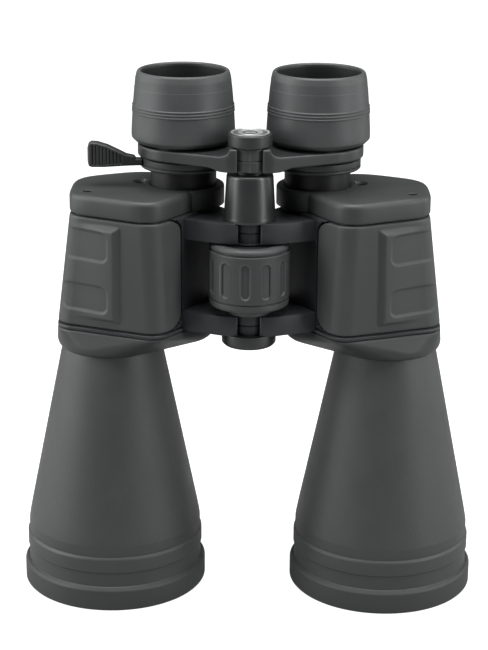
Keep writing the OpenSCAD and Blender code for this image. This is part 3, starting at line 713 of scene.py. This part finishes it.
def obj_cover():
    pts = []
    def circ(x, y, r, z, n=160):
        for a in np.linspace(0, 2 * math.pi, n, endpoint=False):
            pts.append((x + r * math.cos(a), y + r * math.sin(a), z))
    for (x, y, r) in OUT_B:
        circ(x, y, r - 0.35, ZB - 0.05)
        circ(x, y, r - 0.05, ZB - 0.35)
        circ(x, y, r, ZB - 0.7)
    circ(OB[0], OB[1], 23.0, 109.8)
    circ(OB[0], OB[1], 22.85, 108.7)
    circ(OB[0], OB[1], 22.5, 107.8)
    circ(OB[0], OB[1], 21.9, 107.0)
    circ(OB[0], OB[1], 21.2, 106.5)
    circ(-27.5, 3.5, 12.0, 111.2)
    circ(-27.8, 3.4, 11.7, 110.0)
    circ(-28.5, 3.2, 11.0, 109.0)
    circ(-29.0, 3.0, 10.0, 108.4)
    return remesh_hull(pts, 0.55, 2)


V, F = obj_cover()
for side, mir in (("left", False), ("right", True)):
    make(side + "_objective_cover_shell", V, F, "cover", side + "_half", (side + "_objective_cover",), mirror=mir, angle=50)


# ---------------------------------------------------------------- barrels, rings, turned pieces
BARREL = rounded([(36.1, 3), (37.8, 3), (37.8, 10.2), (37.2, 10.5), (37.2, 16.4), (37.65, 17.0), (37.65, 22.5), (37.3, 23.1), (36.85, 23.6),
                  (36.95, 24.6), (36.9, 28.3), (36.4, 31.2), (35.8, 34.4), (21.05, 106.5), (19, 107.2), (19, 115), (17.4, 115), (17.4, 106), (33.2, 33), (34.6, 27),
                  (35.2, 22), (36.1, 19)], 0.22, 3, radii={5: 0.35, 6: 0.5, 9: 0.4, 10: 2.2, 11: 3, 12: 3})
RING = rounded([(33.6, 0), (38.2, 0), (39.1, 1.0), (39.1, 9.0), (38.1, 10.2), (37.85, 10.2), (37.85, 3), (33.6, 3)], 0.5, 4, radii={1: 0.9, 2: 0.9, 3: 0.9, 4: 0.6, 5: 0.2})


def dense(pts, step, closed=True):
    out = []
    n = len(pts)
    for i in range(n if closed else n - 1):
        a, b = pts[i], pts[(i + 1) % n]
        k = max(1, int(np.linalg.norm(b - a) / step))
        for q in range(k):
            out.append(a + (b - a) * q / k)
    if not closed:
        out.append(pts[-1])
    return np.array(out)


def tube_profile():
    return rounded([(12.4, 163), (13.6, 163), (13.6, 191.9), (12.4, 191.9)], 0.25, 3)


def eyecup_profile():
    c = 21.3
    pts = [(18.5, 193.05), (c - 1.7, 193.05), (c, 194.7), (c, 197.5), (c - 0.42, 204.9), (c - 0.42, 205.05)]
    # three fine ribs
    rad = {0: 0.2, 1: 0.5, 2: 1.2, 3: 2}
    for zr, rr in ((205.55, c - 0.2), (206.75, c - 0.27), (207.95, c - 0.36)):
        pts += [(rr - 0.28, zr - 0.42), (rr, zr - 0.18), (rr, zr + 0.18), (rr - 0.28, zr + 0.42)]
    pts += [(c - 0.72, 208.6), (c - 1.30, 215.3), (c - 1.40, 215.6), (c - 1.75, 219.0), (c - 2.3, 221.3), (c - 2.85, 222), (c - 3.6, 222), (c - 4.15, 221.4),
            (c - 4.3, 220.6), (c - 3.8, 209.5), (18.5, 209.2)]
    k = len(pts)
    rad.update({k - 8: 2.0, k - 7: 1.0, k - 6: 0.7, k - 5: 0.6, k - 4: 0.5})
    return rounded(pts, 0.14, 3, radii=rad)


for side, mir in (("left", False), ("right", True)):
    V, F = join(revolve(dense(BARREL, 6.0), OB, 256), revolve(rounded([(19, 111), (20.1, 111), (20.1, 114), (19, 114)], 0.2, 2), OB, 96))
    make(side + "_barrel_tube", V, F, "barrel", side + "_half", (side + "_barrel",), mirror=mir, angle=30)
    V, F = revolve(RING, OB, 256)
    make(side + "_rubber_ring", V, F, "ring", side + "_half", (side + "_objective_ring",), mirror=mir)
    V, F = revolve(eyecup_profile(), EY, 256)
    make(side + "_eyecup_rubber", V, F, "eyecup", "bridge" if side == "left" else "right_ocular", (side + "_eyecup",), mirror=mir, angle=50)
    V, F = revolve(tube_profile(), EY, 160)
    make(side + "_tube_sleeve", V, F, "anod", "bridge" if side == "left" else "right_arm", (side + "_eyepiece_tube",), mirror=mir)
    zr = rounded([(13.64, 182.1), (17.3, 182.1), (17.8, 182.6), (17.8, 183.4), (17.35, 183.5), (17.35, 183.8), (17.8, 183.9), (17.8, 186.1), (17.5, 186.5), (13.64, 186.55)], 0.2, 3)
    sl = rounded([(11.4, 164), (12.36, 164), (12.36, 186), (11.4, 186)], 0.15, 2)
    V, F = join(revolve(zr, EY, 192), revolve(sl, EY, 128))
    make(side + "_zoom_collar", V, F, "zoom", side + "_zoom", (side + "_zoom_ring",), mirror=mir)


# ---------------------------------------------------------------- bridge arms
def arm(left):
    """Ring round the tube and arm to the post: polar grid about the eyepiece axis, with a concave rise to the cap."""
    c = np.array([-27.65, 5.0])
    C = np.array([[-27.65, 5.0, 18.8], [-6.5, -16.0, 8.3]])
    p, L = hull_line(C, 0, 1440, start=0.0)
    nphi = 480
    phi = np.linspace(0, 2 * math.pi, nphi, endpoint=False)
    ang = np.unwrap(np.arctan2(p[:, 1] - c[1], p[:, 0] - c[0]))
    rad = np.hypot(p[:, 0] - c[0], p[:, 1] - c[1])
    o = np.argsort(np.mod(ang, 2 * math.pi))
    R = np.interp(phi, np.mod(ang, 2 * math.pi)[o], rad[o], period=2 * math.pi)
    # the notch face at x = -5.1 cuts it off
    cx = np.cos(phi)
    lim = np.where(cx > 1e-6, (-5.1 - c[0]) / np.maximum(cx, 1e-6), 1e9)
    R = np.minimum(R, lim)
    rin = 13.62
    def top(x, y):
        return 191.9 + 3.3 * (1 - np.sqrt(np.clip(1 - np.clip((x + 13.6) / 5.4, 0, 1) ** 2, 0, 1))) * smooth01((np.hypot(x + 27.65, y - 5) - 21.5) / 2.0)
    def bot(x, y):
        return 187.1 - 1.3 * smooth01((x + 17.5) / 6.0)
    rows = []
    e = 0.62
    ks = np.concatenate([np.linspace(0, 1, 26)])
    dirs = np.stack([np.cos(phi), np.sin(phi)], 1)
    def pt(frac_r, zfun, off, dz):
        rr = frac_r
        xy = c + dirs * rr[:, None]
        return np.column_stack([xy, zfun(xy[:, 0], xy[:, 1]) + dz])
    # bottom from the bore outwards
    for k in ks:
        rows.append(pt(rin + (R - e - rin) * k, bot, 0, 0.0))
    for a in np.linspace(0, math.pi / 2, 5)[1:]:
        rows.append(pt(R - e + e * math.sin(a), bot, 0, e * (1 - math.cos(a))))
    for k in np.linspace(0, 1, 6)[1:-1]:
        xy = c + dirs * R[:, None]
        zb, zt_ = bot(xy[:, 0], xy[:, 1]) + e, top(xy[:, 0], xy[:, 1]) - e
        rows.append(np.column_stack([xy, zb + (zt_ - zb) * k]))
    for a in np.linspace(0, math.pi / 2, 5)[:-1]:
        rows.append(pt(R - e + e * math.cos(a), top, 0, -e + e * math.sin(a)))
    for k in ks[::-1]:
        rows.append(pt(rin + (R - e - rin) * k, top, 0, 0.0))
    V, F = grid(np.array(rows), wrap_u=True, wrap_v=True)
    d0, d1 = (190.4, 195.2) if left else (185.8, 190.2)
    lug = disc(8.0, d0, d1, 4.2 if left else 4.23, 0.35)
    return (V, F), lug


for side, mir in (("left", False), ("right", True)):
    (V, F), lug = arm(not mir)
    ob = make(side + "_arm_body", V, F, "arm", "bridge" if side == "left" else "right_arm", (side + "_bridge_arm",), mirror=mir, angle=42)
    z0, z1 = (180.0, 190.3) if not mir else (190.3, 210.0)
    boolean(ob, cutter([revolve([(0, z0), (8.4, z0), (8.4, z1), (0, z1)], (0, HY), 96, closed=False)]))
    boolean(ob, cutter([revolve([(0, 170), (6.5, 170), (6.5, 210), (0, 210)], (0, HY), 96, closed=False)]))
    V, F = lug
    make(side + "_arm_lug", V, F, "arm", "bridge" if side == "left" else "right_arm", (), mirror=mir)


# ---------------------------------------------------------------- centre column
V, F = revolve(rounded([(5, 165), (10.6, 165), (10.6, 166.2), (10.5, 166.9), (9.5, 183.1), (9.1, 184.1), (5.56, 184.1), (5.56, 180.3), (7.2, 179.1), (8, 167.4), (5, 167.4)],
                       0.3, 4, radii={4: 0.7, 5: 0.5}), (0, HY), 160)
make("tapered_sleeve_shell", V, F, "sleeve", "left_half", ("tapered_sleeve",))
V, F = revolve(rounded([(4.2, 122), (4.2, 112.1), (10.1, 112.1), (11.2, 113.2), (11.2, 117.65), (7, 117.65), (7, 119)], 0.5, 5, closed=False, radii={1: 0.3, 2: 0.8, 3: 1.0, 4: 0.1}), (0, HY), 160, closed=False)
F = [f for f in F if len(f) == 4]
make("end_boss_shell", V, F, "sleeve", "left_half", ("end_boss",))
V, F = revolve(rounded([(0, 136), (2.6, 136), (3, 136.4), (3, 172.5), (5.5, 172.5), (5.5, 185.7), (4.2, 185.7), (4.2, 195.3), (0, 195.3)], 0.15, 2, closed=False), (0, HY), 96, closed=False)
make("focus_post_shaft", V, F, "anod", "bridge", ("focus_post",))
V, F = revolve(rounded([(0, 195.25), (8.3, 195.25), (8.9, 195.8), (8.9, 200.2), (8.5, 200.75), (8.05, 200.75), (7.95, 200.15), (0, 200.1)], 0.35, 4, closed=False, radii={5: 0.15, 6: 0.1}), (0, HY), 160, closed=False)
make("bridge_cap_shell", V, F, "hub", "bridge", ("bridge_cap",))
# spun disc: a raised rim, fine rings and a shallow dished middle
dp = [(0, 200.1), (7.85, 200.1), (7.85, 200.86), (7.75, 200.92), (7.1, 200.92), (6.95, 200.80)]
rr = 6.9
while rr > 5.4:
    dp += [(rr - 0.08, 200.70), (rr - 0.22, 200.78), (rr - 0.3, 200.70)]
    rr -= 0.3
dp += [(5.2, 200.72), (5.0, 200.9), (4.6, 200.9), (4.4, 200.74), (2.5, 200.70), (1.0, 200.74), (0, 200.75)]
V, F = revolve(rounded(dp, 0.05, 1, closed=False), (0, HY), 128, closed=False)
make("cap_disc_spun", V, F, "disc", "bridge", ("cap_disc",), angle=25)


# focus wheel grip: turned band with rims, grooves and outlined finger slots
def wheel():
    w = 16.6
    prof = rounded([(13.42, 129.4), (w - 1.5, 129.4), (w - 0.45, 129.95), (w - 0.2, 130.8), (w - 0.3, 132.5), (w - 0.75, 132.72), (w - 0.75, 133.08), (w, 133.35),
                    (w, 152.85), (w - 0.75, 153.12), (w - 0.75, 153.48), (w - 0.3, 153.7), (w - 0.2, 154.4), (w - 0.45, 155.1), (w - 1.6, 155.8), (13.42, 155.8)],
                   0.22, 3, radii={0: 0.1, 1: 0.5, 2: 0.5, 13: 0.5, 14: 0.6, 15: 0.1})
    prof = dense(prof, 0.3)
    n = 1080
    th = np.linspace(0, 2 * math.pi, n, endpoint=False)
    Z = np.repeat(prof[:, 1:2], n, 1)
    Rr = np.repeat(prof[:, 0:1], n, 1)
    arc = w * ((np.degrees(th) + 95) % 30 - 15) / 180 * math.pi       # distance round the rim from the middle of a land
    a2 = w * math.pi / 180 * (((np.degrees(th) + 95 + 15) % 30) - 15)  # from the middle of a slot
    zc, hh, hw = 142.7, 7.3, 1.95
    q = np.maximum(np.abs(Z - zc) - (hh - hw), 0)
    sd = np.hypot(q, np.repeat(a2[None, :], len(prof), 0)) - hw
    outer = (Rr > w - 0.2) & (Z > 133.4) & (Z < 152.8)
    h = -0.62 * smooth01((-sd) / 0.45) + 0.12 * np.exp(-((sd - 0.28) / 0.22) ** 2)
    Rr = Rr + np.where(outer, h, 0)
    P = np.stack([Rr * np.cos(th), HY + Rr * np.sin(th), Z], -1)
    return grid(P, wrap_u=True, wrap_v=True)


V, F = wheel()
make("focus_wheel_rubber", V, F, "wheel", "focus_wheel", ("focus_wheel_grip",), angle=40)
V, F = revolve(rounded([(4.05, 129.4), (13.38, 129.4), (13.38, 155.8), (12.6, 155.8), (12.2, 155.3), (3.6, 155.3), (3.05, 154.8), (3.05, 134), (4.05, 133)], 0.3, 3), (0, HY), 128)
make("focus_wheel_core", V, F, "hub", "focus_wheel", ("focus_wheel_hub",))


# ---------------------------------------------------------------- zoom lever
def lever():
    """Paddle: outline in x-z, thickness along y, with ribs across the thumb faces and all edges rounded."""
    top = [(-44.4, 186.5), (-46.9, 186.6), (-47.6, 187.6), (-51, 188.3), (-54.5, 190), (-58.5, 191.9), (-62.5, 193.1), (-65, 193.25), (-66.2, 192.6), (-66.65, 191.0)]
    bot = [(-44.4, 183.5), (-52, 183.2), (-60, 182.65), (-65, 182.65), (-66.2, 183.1), (-66.7, 184.6)]
    tx, tz = np.array([p[0] for p in top[::-1]]), np.array([p[1] for p in top[::-1]])
    bx, bz = np.array([p[0] for p in bot[::-1]]), np.array([p[1] for p in bot[::-1]])
    xs = np.concatenate([np.linspace(-66.72, -66.0, 14), np.linspace(-65.9, -44.4, 200)])
    nv = 26
    y0, half = -1.0, 2.5
    zt_ = np.interp(xs, tx, tz)
    zb_ = np.interp(xs, bx, bz)
    # round the outer end in plan
    k = np.clip((xs + 66.72) / 1.2, 0, 1)
    rnd = np.sqrt(np.clip(1 - (1 - k) ** 2, 0.0, 1))
    mid = (zt_ + zb_) / 2
    H = (zt_ - zb_) / 2 * (0.86 + 0.14 * rnd)
    rows = []
    for sgn in (-1, 1):
        for j in range(nv + 1):
            v = -1 + 2 * j / nv
            v = math.sin(v * math.pi / 2)
            z = mid + H * v
            edge = (1 - abs(v)) * H
            er = 0.8
            round_e = np.where(edge < er, np.sqrt(np.clip(1 - ((er - edge) / er) ** 2, 0, 1)), 1)
            ph = ((xs + 65.2) / 1.42) % 1.0
            inrib = smooth01((xs + 65.9) / 0.5) * smooth01((-52.4 - xs) / 0.6)
            inz = smooth01((edge - 0.9) / 0.5)
            groove = 0.62 * (0.5 - 0.5 * np.cos(2 * math.pi * np.clip((ph - 0.25) / 0.5, 0, 1))) * inrib * inz
            neck = 1 - 0.22 * smooth01((xs + 53) / 4.0)
            yy = (half * neck - groove) * rnd * (0.35 + 0.65 * round_e)
            row = np.column_stack([xs, y0 + sgn * yy, z])
            rows.append(row if sgn < 0 else row)
    A = np.array(rows[:nv + 1])
    B = np.array(rows[nv + 1:])
    P = np.concatenate([A, B[::-1]], 0)
    V, F = grid(P, wrap_v=True)
    nu = P.shape[1]
    nvv = P.shape[0]
    F.append(tuple(j * nu for j in range(nvv)))
    F.append(tuple(j * nu + nu - 1 for j in range(nvv - 1, -1, -1)))
    return V, F


V, F = lever()
make("zoom_lever_paddle", V, F, "zoom", "left_zoom", ("zoom_lever",), angle=50)

# ---------------------------------------------------------------- floor, light
fm, t, b, co = nt("floor")
c = ramp(t, noise_tex(t, co, 3, 2), [(0.3, (0.34, 0.34, 0.34)), (0.7, (0.38, 0.38, 0.38))])
t.links.new(c, b.inputs["Base Color"])
b.inputs["Roughness"].default_value = 0.9
b.inputs["Specular IOR Level"].default_value = 0.1
b.inputs["Emission Color"].default_value = (1, 1, 1, 1)
ln = t.nodes.new("ShaderNodeVectorMath")
ln.operation = "LENGTH"
t.links.new(co, ln.inputs[0])
flp = t.nodes.new("ShaderNodeLightPath")
seen = math_n(t, "MULTIPLY", flp.outputs["Is Camera Ray"], maprange(t, ln.outputs["Value"], 0.3, 1.1, 0.86, 1.0))
t.links.new(math_n(t, "ADD", seen, 0.03), b.inputs["Emission Strength"])
me = bpy.data.meshes.new("floor")
S = 4.0
me.from_pydata([(-S, -S, 0), (S, -S, 0), (S, S, 0), (-S, S, 0)], [], [(0, 1, 2, 3)])
me.materials.append(fm)
floor = bpy.data.objects.new("floor", me)
floor.location = (0, 0, -0.00005)
SC.collection.objects.link(floor)

w = bpy.data.worlds.new("studio")
SC.world = w
w.use_nodes = True
wt = w.node_tree
bg = wt.nodes["Background"]
bg.inputs["Color"].default_value = (1, 1, 1, 1)
bg.inputs["Strength"].default_value = 0.12
bg2 = wt.nodes.new("ShaderNodeBackground")
bg2.inputs["Color"].default_value = (1, 1, 1, 1)
bg2.inputs["Strength"].default_value = 1.0
lp = wt.nodes.new("ShaderNodeLightPath")
mx = wt.nodes.new("ShaderNodeMixShader")
wt.links.new(lp.outputs["Is Camera Ray"], mx.inputs[0])
wt.links.new(bg.outputs[0], mx.inputs[1])
wt.links.new(bg2.outputs[0], mx.inputs[2])
wt.links.new(mx.outputs[0], wt.nodes["World Output"].inputs["Surface"])


def area(name, loc, target, size, power, sy=None):
    ld = bpy.data.lights.new(name, "AREA")
    ld.shape = "RECTANGLE"
    ld.size, ld.size_y = size, sy or size
    ld.energy = power
    o = bpy.data.objects.new(name, ld)
    o.location = loc
    o.rotation_euler = (Vector(target) - Vector(loc)).to_track_quat("-Z", "Y").to_euler()
    SC.collection.objects.link(o)
    return o


area("left_box", (-0.80, -0.24, 0.42), (0, 0, 0.12), 0.34, 6.0, 0.8)
area("right_box", (0.74, -0.38, 0.42), (0, 0, 0.12), 0.20, 4.8, 0.8)
area("right_rim", (0.85, 0.25, 0.35), (0, 0, 0.12), 0.4, 3.0, 0.8)
area("left_rim", (-0.85, 0.22, 0.38), (0, 0, 0.14), 0.4, 3.6, 0.8)
area("top_box", (0, -0.10, 0.95), (0, 0, 0.1), 0.9, 14.0, 0.6)

import json
